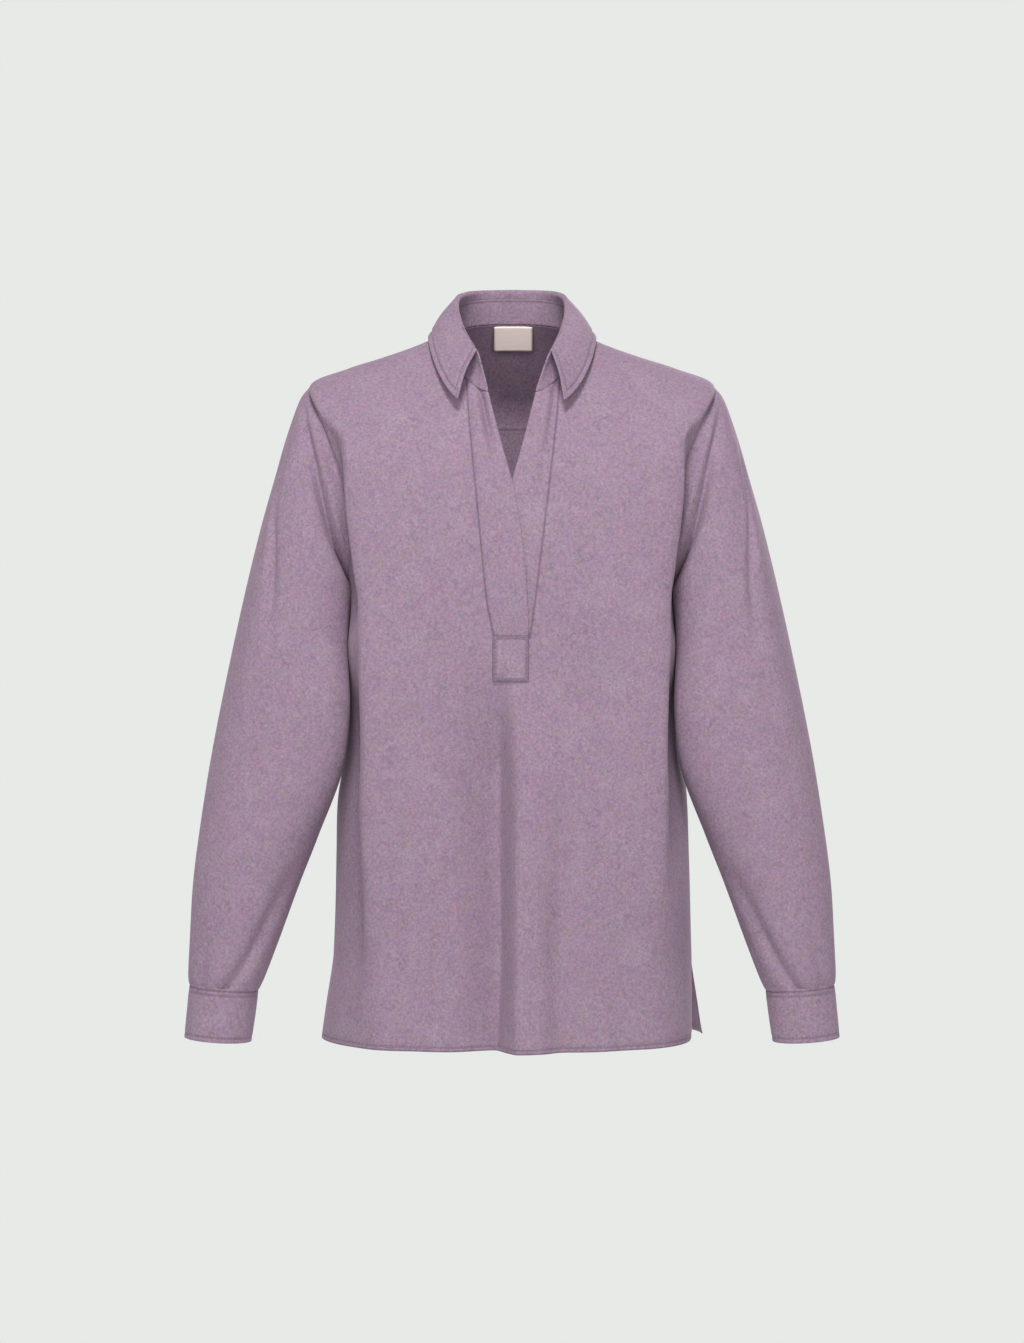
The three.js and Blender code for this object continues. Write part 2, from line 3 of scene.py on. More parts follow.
import bpy
import numpy as np
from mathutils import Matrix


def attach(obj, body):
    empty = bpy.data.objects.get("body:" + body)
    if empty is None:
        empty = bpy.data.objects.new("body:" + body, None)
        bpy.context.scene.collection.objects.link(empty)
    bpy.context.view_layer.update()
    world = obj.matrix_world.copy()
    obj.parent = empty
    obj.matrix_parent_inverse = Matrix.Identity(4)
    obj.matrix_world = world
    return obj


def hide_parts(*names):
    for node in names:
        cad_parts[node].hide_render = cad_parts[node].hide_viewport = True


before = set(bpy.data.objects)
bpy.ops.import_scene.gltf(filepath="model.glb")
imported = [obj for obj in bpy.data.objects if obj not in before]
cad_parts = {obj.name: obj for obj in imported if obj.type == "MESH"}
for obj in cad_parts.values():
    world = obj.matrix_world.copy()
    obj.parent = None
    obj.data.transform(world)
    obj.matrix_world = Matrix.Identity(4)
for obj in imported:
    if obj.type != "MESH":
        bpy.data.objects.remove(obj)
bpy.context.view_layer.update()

# ---------------------------------------------------------------------------------------------
# The front: one panel of brushed lilac melange cotton, cut on the fold, with a slot down from the
# neck for the placket bands. It is sewn to the yoke at the shoulders, to the sleeves round the
# armholes and to the back down to the side slits, and its narrow hem is turned and stitched.

MM = 0.001  # every size below is in millimetres until it goes into a mesh
CLOTH = 1.2  # one layer with its turned seams
SEAM = 0.3  # between pieces that are sewn together
QUARTER = math.pi / 2

# Rings of the body, from the neckline out over the shoulders and down to the hem: the heights of
# its front, side and back, its reach sideways, forward and backward, how square its front corners
# are, and how far round its front and back keep their height.
BODY = np.array([
    (-62, 5, 22, 69, 80, 62, 0, 3),
    (-84, -7, 2, 97, 90, 86, 0, 3),
    (-104, -18, -24, 128, 98, 102, 0.01, 2.7),
    (-123, -30, -53, 165, 105, 110, 0.03, 2.4),
    (-141, -46.5, -84, 201, 110, 114, 0.05, 2.2),
    (-162, -80, -116, 191, 114, 115, 0.07, 2),
    (-196, -153, -164, 179, 118.5, 114, 0.09, 2),
    (-234, -229, -220, 164.5, 122.5, 111, 0.105, 2),
    (-264, -262, -264, 158.5, 123, 108, 0.115, 2),
    (-310, -310, -310, 161, 122, 107, 0.12, 2),
    (-360, -360, -360, 164, 122, 108, 0.12, 2),
    (-410, -410, -410, 167, 124, 110, 0.115, 2),
    (-458, -458, -458, 174.5, 126, 113, 0.1, 2),
    (-510, -510, -510, 176, 127, 117, 0.09, 2),
    (-565, -565, -565, 177, 128, 121, 0.075, 2),
    (-615, -615, -615, 178.5, 129, 124, 0.06, 2),
    (-655, -655, -655, 180, 130, 126, 0.055, 2),
    (-696, -694, -694, 181.5, 132, 128, 0.05, 2),
], dtype=[(name, float) for name in "front side back half ahead behind square saddle".split()])
BACK_SQUARE = 0.6  # how square the back's corners are, against the front's
TIP_ROW, UNDERARM_ROW, SLIT_ROW, HEM_ROW = 4, 8, 15, 17
ARMHOLE_SCOOP = math.radians(28)  # how far an armhole cuts into the front and the back


def fold_table(*folds):
    """Folds of a surface, one to a line: the two rows between which each runs, over how many rows
    it fades at either end, its angles at even steps between them, its height outward, its widths
    toward angle 0 and away from it, and the sides of the shirt that have it."""
    names = "rows fade angles height widths sides".split()
    return [dict(zip(names, fold)) for fold in folds]


# The body's folds, with angles and widths in degrees from the centre front.
BOTH, RIGHT, LEFT = (1, -1), (-1,), (1,)
BODY_FOLDS = fold_table(
    # The ridges that bound the front at its sides, from the shoulders down.
    ((3.6, 10.93), (2.2, 2.6), [47, 45, 46, 47, 43.5, 39.5, 38], 7, (13, 4), RIGHT),
    ((7.6, 15), (2.6, 3), [40, 37.5, 36, 36.5, 38.5, 41], 10, (14, 6), RIGHT),
    ((3.6, 14.6), (2.2, 4), [51, 47.5, 49.4, 50.8, 48, 43, 41, 41, 42.5, 45], 7, (13, 4), LEFT),
    # The hollows beside them, into which the sleeves press.
    ((4.6, 9.6), (1.4, 3), [55, 56, 56.5, 56, 54], -13, (4, 11), RIGHT),
    ((8.7, 16.6), (2.4, 3.6), [54, 52.5, 51, 53, 55], -30, (6, 21), RIGHT),
    ((4.6, 9.6), (1.4, 3), [58, 59, 59.5, 59, 57], -13, (4, 12), LEFT),
    ((8.7, 14.2), (2, 3), [57, 55.5, 54, 54], -23, (6, 19), LEFT),
    ((8.4, 12.6), (1.4, 2), [96, 96, 96], 4, (7, 12), LEFT),
    # The deep fold that drops from the tab, its crest, and the front's softer ones.
    ((9.1, 19), (2.4, 1), [-3.3, -3.2, -3.6, -6.6], -22, (2.5, 8)),
    ((9.2, 19), (3, 1), [1.6, 1.6, 1.6, 1.2], 16, (2.3, 11)),
    ((10.5, 19), (4, 1), [10.5, 11, 13], -7, (3, 5)),
    ((10.5, 19), (5, 1), [-24, -27], -3, (7, 8)),
    ((11.5, 19), (5, 1), [30, 33], -3.5, (6, 8)),
    ((12.5, 19), (4, 1), [-38, -37], 4, (10, 9)),
    # The back's, which hang from the yoke, and those that run from the armholes.
    ((5.4, 19), (5, 1), [170, 167, 162], -14, (7, 4.5)),
    ((6, 19), (6, 1), [180, 182, 186], 8, (7, 9)),
    ((7.4, 19), (5, 1), [203, 206, 211], -13, (4.5, 8)),
    ((8, 19), (5, 1), [145, 142, 136], 7, (6, 9)),
    ((9.5, 19), (5, 1), [226, 231], 6, (8, 6)),
    ((4.4, 12), (2, 5), [128, 130, 133, 140], 6, (5, 10), BOTH),
    ((4.6, 11), (2, 5), [118, 116, 112, 108], -8, (8, 5), BOTH),
)
# The front's fullness before the shoulder tips: how far forward, and where on the body.
SHOULDER_FILL = {"forward": 13, "row": 4.9, "rows": 0.9, "angle": 72, "width": 11}
# The free corners below the slits: how far they spread sideways on the right and left, and back.
FLARE = {"front": (8, -3.5, -9), "back": (-3, 9.5, 9)}
SLIT_BEND, CORNER_BEND = 1.1, 10  # how late down a slit, and how close to it, the corners spread
HEM_CORNER = 20  # radius of the front's hem corners
PANEL_HALF = 230  # half the front's width at the hem
LAST_ROW = 39  # height of the body's last row

SEAMS = {"right": (-1, 44.5, 24.3), "left": (1, 47, 22.3)}  # placket seams: side, at the neck, low
SLOT_ROW = 8.8  # where the placket's slot ends
SLOT_HALF = 17


def cubic(before, start, end, after, part):
    """A smooth curve's value between start and end."""
    slope = (end - before) * part
    bend = (2 * before - 5 * start + 4 * end - after) * part ** 2
    twist = (3 * start - before - 3 * end + after) * part ** 3
    return start + (slope + bend + twist) / 2


def column(values, at):
    """A smooth curve through a column of a table, at any place between its rows."""
    values, at = np.asarray(values, float), np.asarray(at, float)
    last = len(values) - 1
    row = np.clip(np.floor(at).astype(int), 0, last - 1)
    near = [values[np.clip(row + step, 0, last)] for step in (-1, 0, 1, 2)]
    return cubic(*near, at - row)


def smooth(part):
    """Eases from 0 to 1."""
    part = np.clip(part, 0, 1)
    return part * part * (3 - 2 * part)


def fold_height(folds, degrees, row, whole_turn=360):
    """How far a table of folds moves a surface outward."""
    height = np.zeros(np.broadcast(degrees, row).shape)
    for fold in folds:
        first, last = fold["rows"]
        along = np.clip((row - first) / (last - first), 0, 1)
        centre = column(fold["angles"], along * (len(fold["angles"]) - 1))
        fade = smooth((row - first) / fold["fade"][0]) * smooth((last - row) / fold["fade"][1])
        inner, outer = fold["widths"]
        for side in fold.get("sides", (1,)):
            off = (degrees * side - centre + whole_turn / 2) % whole_turn - whole_turn / 2
            outward = np.where((centre < 0) | (centre > 180), -1, 1)
            width = np.where(np.sign(off) == outward, outer, inner)
            height = height + fold["height"] * fade * np.exp(-((off / width) ** 2))
    return height


def body_point(angle, row):
    """The body's middle surface. angle runs from the centre front, positive to the wearer's left."""
    angle, row = np.broadcast_arrays(np.asarray(angle, float), np.asarray(row, float))
    sine, cosine = np.sin(angle), np.cos(angle)
    ring = {name: column(BODY[name], row) for name in BODY.dtype.names}
    ahead = cosine > 0
    square = ring["square"] * np.where(ahead, 1, BACK_SQUARE)
    depth = np.where(ahead, ring["ahead"], ring["behind"])
    middle = np.where(ahead, ring["front"], ring["back"])
    out = fold_height(BODY_FOLDS, np.degrees(angle), row)
    off_row = (row - SHOULDER_FILL["row"]) / SHOULDER_FILL["rows"]
    off_angle = (np.abs(np.degrees(angle)) - SHOULDER_FILL["angle"]) / SHOULDER_FILL["width"]
    fullness = np.where(ahead, SHOULDER_FILL["forward"] * np.exp(-(off_row ** 2) - off_angle ** 2), 0)
    return np.stack([
        ring["half"] * (sine + square * np.sin(3 * angle)) / (1 - square) + sine * out,
        -depth * (cosine - square * np.cos(3 * angle)) / (1 - square) - cosine * out - fullness,
        middle + (ring["side"] - middle) * np.abs(sine) ** ring["saddle"],
    ], -1)


def panel_point(panel):
    """A panel's middle surface: the body's, with its free corners spread below the slits."""
    right, left, back = FLARE[panel]

    def point(angle, row):
        place = body_point(angle, row)
        sine = np.sin(angle)
        below = np.clip((row - SLIT_ROW) / (HEM_ROW - SLIT_ROW), 0, 1)
        opened = below ** SLIT_BEND * np.abs(sine) ** CORNER_BEND
        place[..., 0] += opened * np.where(sine > 0, left, -right)
        place[..., 1] += opened * back
        return place

    return point


def angle_at(x, row):
    """The angle at which the body's ring at a row is x from the middle."""
    x, row = np.broadcast_arrays(np.asarray(x, float), np.asarray(row, float))
    side = np.where(x < 0, -1, 1)
    near, far = np.zeros(x.shape), np.full(x.shape, QUARTER)
    for _ in range(30):
        middle = (near + far) / 2
        short = body_point(middle * side, row)[..., 0] * side < np.abs(x)
        near, far = np.where(short, middle, near), np.where(short, far, middle)
    return near * side


def seam_angle(name, row):
    """The angle of one of the placket's two seams at a row."""
    side, top, low = SEAMS[name]
    height = column(BODY["front"], np.minimum(row, SLOT_ROW))
    neck, bend, end = BODY["front"][0], BODY["front"][UNDERARM_ROW], column(BODY["front"], SLOT_ROW)
    upper = top + (low - top) * (height - neck) / (bend - neck)
    lower = low + (SLOT_HALF - low) * (height - bend) / (end - bend)
    return angle_at(side * np.where(height > bend, upper, lower), row)


def half_span(row):
    """From the centre front or back to a panel's edge: shoulder seam, armhole, then side seam."""
    turn = np.clip((row - TIP_ROW) / (UNDERARM_ROW - TIP_ROW), 0, 1) * math.pi
    return QUARTER - ARMHOLE_SCOOP * np.sin(turn) - SEAM / 2 / column(BODY["half"], row)


def unit(vectors):
    """Vectors at a length of 1."""
    return vectors / np.maximum(np.linalg.norm(vectors, axis=-1, keepdims=True), 1e-12)


def normals(surface, across, along, turn=1):
    """The outward normals of a surface at a grid of places."""
    step = 1e-3
    right = surface(across + step, along) - surface(across - step, along)
    down = surface(across, along + step) - surface(across, along - step)
    return unit(np.cross(down, right)) * turn


def running(points, axis, start=0):
    """How far along the cloth each place of a grid is, counted along one of its axes."""
    steps = np.linalg.norm(np.diff(points, axis=axis), axis=-1)
    run = np.insert(np.cumsum(steps, axis=axis), 0, 0, axis=axis)
    return run - np.take(run, [start], axis=axis)


stitch_paths = []  # the lines of stitches, kept until all pieces are made


def stitch_along(points, run, others, inset, closed, lowest):
    """Keeps the line across a grid of places where run, a distance from an edge, reaches inset."""
    past = run - inset
    crossed = np.diff(np.sign(past), axis=0) != 0
    first, column_at = np.argmax(crossed, axis=0), np.arange(run.shape[1])
    before, after = past[first, column_at], past[first + 1, column_at]
    part = np.where(crossed.any(axis=0), before / np.where(before == after, 1, before - after), 0)

    def between(values):
        share = part.reshape(part.shape + (1,) * (values.ndim - 2))
        return values[first, column_at] * (1 - share) + values[first + 1, column_at] * share

    line = between(points)
    kept = crossed.any(axis=0) & (line[:, 2] < lowest)
    for other in others:
        kept &= between(other) > inset - 0.05
    if closed:
        line, kept = np.append(line, line[:1], axis=0), np.append(kept, kept[:1])
    starts = np.flatnonzero(np.diff(np.concatenate([[0], kept.astype(int), [0]])))
    stitch_paths.extend(line[a:b] for a, b in starts.reshape(-1, 2) if b - a > 2)


FAR = 99  # further from an edge than a seam or a line of stitches changes the cloth
ANY_HEIGHT = 999  # above the whole shirt
SEAM_PULL, SEAM_WIDTH = 0.45, 1.6  # how deep a seam draws the cloth in, and how far from it
STITCH_WIDTH = 1.5  # half the width of a stitched groove
THREAD_OUT = 0.1  # the stitches' middle, off the cloth's face
RIM_TURNS = [0, 0.25, 0.5, 0.75, 1]  # round an edge, from the outer face to the inner


def closed_shell(name, middle, normal, cells, thickness, measures, flat, reverse):
    """A closed mesh over the cells of a grid, half a thickness to either side, with round rims."""
    total = normal[..., 0].size
    points, outward = middle.reshape(-1, 3), normal.reshape(-1, 3)
    edges = np.concatenate([cells[:, [k, (k + 1) % 4]] for k in range(4)])
    codes = edges[:, 0] * total + edges[:, 1]
    rim = edges[~np.isin(edges[:, 1] * total + edges[:, 0], codes)]
    off_edge = np.zeros_like(points)
    pushed = unit(np.cross(points[rim[:, 1]] - points[rim[:, 0]], outward[rim[:, 0]]))
    for end in (0, 1):
        np.add.at(off_edge, rim[:, end], pushed)
    off_edge = unit(off_edge)

    layers = [
        points + thickness / 2 * (math.cos(turned) * outward + math.sin(turned) * off_edge)
        for turned in (math.pi * part for part in RIM_TURNS)
    ]
    faces = [cells, cells[:, ::-1] + (len(RIM_TURNS) - 1) * total]
    for layer in range(len(RIM_TURNS) - 1):
        start, end = rim[:, 0] + layer * total, rim[:, 1] + layer * total
        faces.append(np.stack([end, start, start + total, end + total], -1))
    used, faces = np.unique(np.concatenate(faces), return_inverse=True)
    faces = faces.reshape(-1, 4)
    vertices = np.concatenate(layers)[used] * MM

    mesh = bpy.data.meshes.new(name)
    mesh.vertices.add(len(vertices))
    mesh.vertices.foreach_set("co", vertices.astype(np.float32).ravel())
    mesh.loops.add(faces.size)
    mesh.loops.foreach_set("vertex_index", faces.ravel().astype(np.int32))
    mesh.polygons.add(len(faces))
    mesh.polygons.foreach_set("loop_start", np.arange(0, faces.size, 4, dtype=np.int32))
    mesh.polygons.foreach_set("use_smooth", np.ones(len(faces), bool))
    mesh.update()
    at = used % total
    mesh.uv_layers.new(name="cut").data.foreach_set(
        "uv", (flat.reshape(-1, 2)[at][faces.ravel()] * MM).astype(np.float32).ravel())
    given = {measure: values.reshape(-1)[at] * MM for measure, values in measures.items()}
    given["reverse"] = reverse * (used // total) / (len(RIM_TURNS) - 1)
    for measure, values in given.items():
        attribute = mesh.attributes.new(measure, "FLOAT", "POINT")
        attribute.data.foreach_set("value", values.astype(np.float32))
    mesh.validate()
    piece = bpy.data.objects.new(name, mesh)
    bpy.context.scene.collection.objects.link(piece)
    return piece


def cloth(name, surface, across, along, thickness, keep=None, wrap=False, turn=1, out=0,
          reverse=1, seams="", near=FAR, sewn="", inset=0, groove=0.35, face=1,
          sides_below=ANY_HEIGHT):
    """A thin shell of cloth over a grid of places on a surface, with rounded edges.

    out moves it off the surface, keep says which cells are cloth, wrap joins the last column to
    the first, and turn is -1 where the grid runs the other way round. reverse is 1 where the
    inside shows the cloth's reverse, which the material paints paler as painted light on the
    shirt's shaded inside. seams names the edges that are sewn, and near is the distance to a seam
    of any other shape. The material puts painted shade along both. A line of stitches runs along
    the edges that sewn names, inset from them, in a groove, on the outer face or with face -1 the
    inner, and down the sides only below the height sides_below. The cloth along that line is also
    given painted shade, as in its groove.
    """
    across, along = np.broadcast_arrays(np.asarray(across, float), np.asarray(along, float))
    normal = normals(surface, across, along, turn)
    middle = surface(across, along)
    to_edge = {
        "left": running(middle, 1), "right": -running(middle, 1, -1),
        "top": running(middle, 0), "bottom": -running(middle, 0, -1),
    }
    flat = np.stack([running(middle, 1, across.shape[1] // 2), -running(middle, 0)], -1)
    to_seams = [to_edge[edge] for edge in seams.split()]
    seam = np.minimum.reduce([np.broadcast_to(near, across.shape), *to_seams])
    line = np.full(across.shape, float(FAR))
    if sewn:
        line = np.abs(np.minimum.reduce([to_edge[edge] for edge in sewn.split()]) - inset)
        on_face = middle + normal * (out - groove + face * (thickness / 2 + THREAD_OUT))
    for edge in sewn.split():
        others = [to_edge[other] for other in sewn.split() if other != edge]
        if edge in ("top", "bottom"):
            stitch_along(on_face, to_edge[edge], others, inset, wrap, ANY_HEIGHT)
        else:
            others = [other.T for other in others]
            stitch_along(on_face.transpose(1, 0, 2), to_edge[edge].T, others, inset, False, sides_below)
    pull = SEAM_PULL * np.exp(-((seam / SEAM_WIDTH) ** 2))
    pull = pull + groove * np.exp(-((line / STITCH_WIDTH) ** 2))
    middle = middle + normal * (out - pull)[..., None]

    ids = np.arange(across.size).reshape(across.shape)
    right = np.roll(ids, -1, axis=1) if wrap else ids[:, 1:]
    left = ids if wrap else ids[:, :-1]
    cells = np.stack([left[:-1], left[1:], right[1:], right[:-1]], -1)
    cells = cells.reshape(-1, 4) if keep is None else cells[keep]
    if turn < 0:
        cells = cells[:, ::-1]
    measures = {"seam": seam, "stitch": line}
    return closed_shell(name, middle, normal, cells, thickness, measures, flat, reverse)


def linear(colour):
    """An sRGB hex colour as the linear colour that shaders take."""
    parts = [int(colour[k:k + 2], 16) / 255 for k in (1, 3, 5)]
    return tuple(c / 12.92 if c <= 0.04045 else ((c + 0.055) / 1.055) ** 2.4 for c in parts) + (1,)


def add_node(tree, kind, inputs=None, **settings):
    """A node with its settings, and its inputs' values and links."""
    made = tree.nodes.new(kind)
    for name, value in settings.items():
        setattr(made, name, value)
    for socket, value in (inputs or {}).items():
        if isinstance(value, bpy.types.NodeSocket):
            tree.links.new(value, made.inputs[socket])
        else:
            made.inputs[socket].default_value = value
    return made


MIX_SHARE, MIX_FIRST, MIX_SECOND, MIXED = 0, 6, 7, 2  # a Mix node's sockets for colours


def brushed_melange():
    """Brushed cotton shirting, yarn-dyed melange: fibres of lilac, rose, grey and violet spun
    together, so that the colour is mottled and grainy, with fine darker hairs curled in the nap.
    The nap scatters light, so that it has no gloss and only a weak sheen at grazing angles."""
    material = bpy.data.materials.new("brushed_melange_cotton")
    material.use_nodes = True
    tree = material.node_tree
    tree.nodes.clear()
    place = add_node(tree, "ShaderNodeTexCoord").outputs["Object"]
    cut = add_node(tree, "ShaderNodeUVMap", uv_map="cut").outputs["UV"]

    colour = linear("#a58ba1")
    # Blotches of the melange's other colours: hue, size, share and place in the noise.
    for hue, size, share, by in (
        ("#ae839e", 9, 0.62, (0, 0, 0)),
        ("#a19490", 11, 0.5, (0.7, 0.3, 0.9)),
        ("#9484a7", 8, 0.5, (0.2, 0.8, 0.4)),
        ("#ad99aa", 30, 0.5, (0.5, 0.1, 0.6)),
    ):
        moved = add_node(tree, "ShaderNodeMapping", {"Vector": place, "Location": by}).outputs[0]
        blotches = add_node(tree, "ShaderNodeTexNoise", {
            "Vector": moved, "Scale": 1 / (size * MM), "Detail": 4, "Roughness": 0.62}).outputs["Fac"]
        amount = add_node(tree, "ShaderNodeMapRange", {
            "Value": blotches, "From Min": 0.5, "From Max": 0.72, "To Max": share}).outputs["Result"]
        colour = add_node(tree, "ShaderNodeMix", {
            MIX_SHARE: amount, MIX_FIRST: colour, MIX_SECOND: linear(hue)},
            data_type="RGBA").outputs[MIXED]

    # Grain and fibres are drawn several times coarser than real ones, so that they show at a step.
    grain = add_node(tree, "ShaderNodeTexNoise", {
        "Vector": place, "Scale": 1 / (2.6 * MM), "Detail": 3, "Roughness": 0.7}).outputs["Fac"]
    fibre = add_node(tree, "ShaderNodeTexNoise", {
        "Vector": place, "Scale": 1 / (1.2 * MM), "Detail": 2, "Roughness": 0.6}).outputs["Fac"]
    # Hairs curl where a warped noise passes its middle, and only in patches.
    curl = add_node(tree, "ShaderNodeTexNoise", {
        "Vector": place, "Scale": 1 / (24 * MM), "Detail": 2, "Distortion": 1.9}).outputs["Fac"]
    off_curl = add_node(tree, "ShaderNodeMath", {0: curl, 1: 0.5}, operation="SUBTRACT").outputs[0]
    off_curl = add_node(tree, "ShaderNodeMath", {0: off_curl}, operation="ABSOLUTE").outputs[0]
    hair = add_node(tree, "ShaderNodeMapRange", {
        "Value": off_curl, "From Min": 0.005, "From Max": 0.02, "To Min": 1, "To Max": 0,
    }).outputs["Result"]
    moved = add_node(tree, "ShaderNodeMapping", {
        "Vector": place, "Location": (0.7, 0.3, 0.9)}).outputs[0]
    patches = add_node(tree, "ShaderNodeTexNoise", {
        "Vector": moved, "Scale": 1 / (17 * MM), "Detail": 2}).outputs["Fac"]
    patches = add_node(tree, "ShaderNodeMapRange", {
        "Value": patches, "From Min": 0.47, "From Max": 0.6}).outputs["Result"]
    hair = add_node(tree, "ShaderNodeMath", {0: hair, 1: patches}, operation="MULTIPLY").outputs[0]

    # The shade is the grain's and the fibres', darker under hairs. Seams and lines of stitches get
    # painted shade in their grooves. The reverse is painted paler, as painted light on the shirt's
    # shaded inside. Each row gives what it depends on, its range, and the shades over that.
    seam, stitch, reverse_painted_light = (
        add_node(tree, "ShaderNodeAttribute", attribute_name=measure).outputs["Fac"]
        for measure in ("seam", "stitch", "reverse")
    )
    shades = [
        add_node(tree, "ShaderNodeMapRange", {
            "Value": value, "From Min": low, "From Max": high, "To Min": at_low, "To Max": at_high,
        }).outputs["Result"]
        for value, low, high, at_low, at_high in (
            (grain, 0.3, 0.7, 0.47, 0.77),
            (fibre, 0.3, 0.7, -0.08, 0.08),
            (hair, 0, 1, 1, 0.82),
            # painted shade in the groove where a seam draws the cloth in
            (seam, 0.2 * MM, 1.5 * MM, 0.66, 1),
            # painted shade in the groove along a line of stitches
            (stitch, 0.4 * MM, 1.5 * MM, 0.62, 1),
            # painted light: the reverse, seen on the shirt's shaded inside, is made paler
            (reverse_painted_light, 0.6, 1, 1, 1.16),
        )
    ]
    shade = add_node(tree, "ShaderNodeMath", {0: shades[0], 1: shades[1]}, operation="ADD").outputs[0]
    for other in shades[2:]:
        shade = add_node(tree, "ShaderNodeMath", {0: shade, 1: other}, operation="MULTIPLY").outputs[0]
    colour = add_node(tree, "ShaderNodeMix", {MIX_SHARE: 1.0, MIX_FIRST: colour, MIX_SECOND: shade},
                      data_type="RGBA", blend_type="MULTIPLY").outputs[MIXED]

    # The surface rises with the grain and the fibres, and with a slow ripple on the cut's bias,
    # 20 mm a wave.
    ripple = add_node(tree, "ShaderNodeTexWave", {
        "Vector": cut, "Scale": 1 / (1.6 * MM) / 20, "Distortion": 1.2, "Detail": 1,
    }, wave_type="BANDS", bands_direction="DIAGONAL").outputs["Fac"]
    height = 0
    for relief, share in ((grain, 0.5), (fibre, 0.3), (ripple, 0.15)):
        height = add_node(tree, "ShaderNodeMath", {
            0: relief, 1: share, 2: height}, operation="MULTIPLY_ADD").outputs[0]
    bump = add_node(tree, "ShaderNodeBump", {
        "Height": height, "Strength": 0.5, "Distance": 0.35 * MM})
    shader = add_node(tree, "ShaderNodeBsdfPrincipled", {
        "Base Color": colour, "Roughness": 0.92, "IOR": 1.46, "Specular IOR Level": 0.25,
        "Sheen Weight": 0.2, "Sheen Roughness": 0.5, "Sheen Tint": linear("#cbb4c8"),
        "Normal": bump.outputs[0],
    })
    add_node(tree, "ShaderNodeOutputMaterial", {"Surface": shader.outputs[0]})
    return material


shirting = brushed_melange()


def dress(piece, node, material):
    """Gives a finished piece its material, and puts it in the place of its solid."""
    piece.data.materials.append(material)
    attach(piece, "root")
    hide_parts(node)


FINE_HEM = np.array([9, 6.5, 4.8, 3.6, 2.4, 1.2, 0])  # heights above the hem, close for its stitches
hem_rows = np.concatenate([
    np.linspace(SLIT_ROW, HEM_ROW - 0.24, 20, endpoint=False),
    HEM_ROW - FINE_HEM / LAST_ROW,
])
front_rows = np.concatenate([
    np.linspace(0.03, TIP_ROW, 44, endpoint=False),
    np.linspace(TIP_ROW, UNDERARM_ROW, 64, endpoint=False),
    np.linspace(UNDERARM_ROW, SLOT_ROW, 12, endpoint=False),
    np.linspace(SLOT_ROW, SLIT_ROW, 82, endpoint=False),
    hem_rows,
])[:, None]
front_shares = np.concatenate([
    np.linspace(0, 0.02, 3, endpoint=False),
    np.linspace(0.02, 0.5, 30, endpoint=False),
    np.linspace(0.5, 0.9, 42, endpoint=False),
    np.linspace(0.9, 0.985, 7, endpoint=False),
    np.linspace(0.985, 1, 4),
])


def front_half(name):
    """Angles across one half of the front, from its placket seam to its side edge."""
    side = SEAMS[name][0]
    start = seam_angle(name, front_rows) + side * SEAM / 2 / column(BODY["half"], front_rows)
    return start + (side * half_span(front_rows) - start) * front_shares


right_half, left_half = front_half("right")[:, ::-1], front_half("left")
MIDDLE_CELLS = 16  # across the middle, between the two seams
middle_shares = np.linspace(0, 1, MIDDLE_CELLS + 1)[1:-1]
between = right_half[:, -1:] + (left_half[:, :1] - right_half[:, -1:]) * middle_shares
front_across = np.concatenate([right_half, between, left_half], axis=1)
out_shares = np.concatenate([front_shares[::-1], np.zeros(MIDDLE_CELLS - 1), front_shares])
in_corner = np.maximum(HEM_CORNER - (1 - out_shares) * PANEL_HALF, 0)
cut_off = HEM_CORNER - np.sqrt(HEM_CORNER ** 2 - in_corner ** 2)
front_along = front_rows - np.maximum(front_rows - HEM_ROW + 1, 0) * cut_off / LAST_ROW
slot_start, slot_end = len(front_shares) - 1, len(front_shares) - 1 + MIDDLE_CELLS
front_cells = np.ones((len(front_rows) - 1, front_across.shape[1] - 1), bool)
front_cells[front_rows[:-1, 0] < SLOT_ROW - 1e-6, slot_start:slot_end] = False

HEM_STITCH = 3.6  # the line of stitches above the hem
SLIT_TOP = -612  # the side slits' edges are stitched below this height
across_x = body_point(front_across, front_rows)[..., 0]
from_slot = np.minimum.reduce([np.abs(across_x - across_x[:, [k]]) for k in (slot_start, slot_end)])
from_slot = np.where(front_rows < SLOT_ROW + 1e-6, from_slot, FAR)
front = cloth(
    "front_panel", panel_point("front"), front_across, front_along, CLOTH, keep=front_cells,
    seams="left right top bottom", near=from_slot, sewn="left right bottom", inset=HEM_STITCH,
    groove=0.9, sides_below=SLIT_TOP)
dress(front, "front", shirting)

# ---------------------------------------------------------------------------------------------
# The yoke and the back: the yoke lies over the back shoulders from neck to neck, and the back
# hangs from its seam. Both are the front's cotton; the back's hem has square corners at the slits.

YOKE_ROW, YOKE_CORNER = 3.9, 5  # the seam at the centre back, and where it meets the armholes
YOKE_SPAN = QUARTER - ARMHOLE_SCOOP * math.sin(
    (YOKE_CORNER - TIP_ROW) / (UNDERARM_ROW - TIP_ROW) * math.pi)


def yoke_row(share):
    """The row of the yoke's seam, from 0 at the centre back to 1 at an armhole."""
    return YOKE_ROW + (YOKE_CORNER - YOKE_ROW) * share ** 2


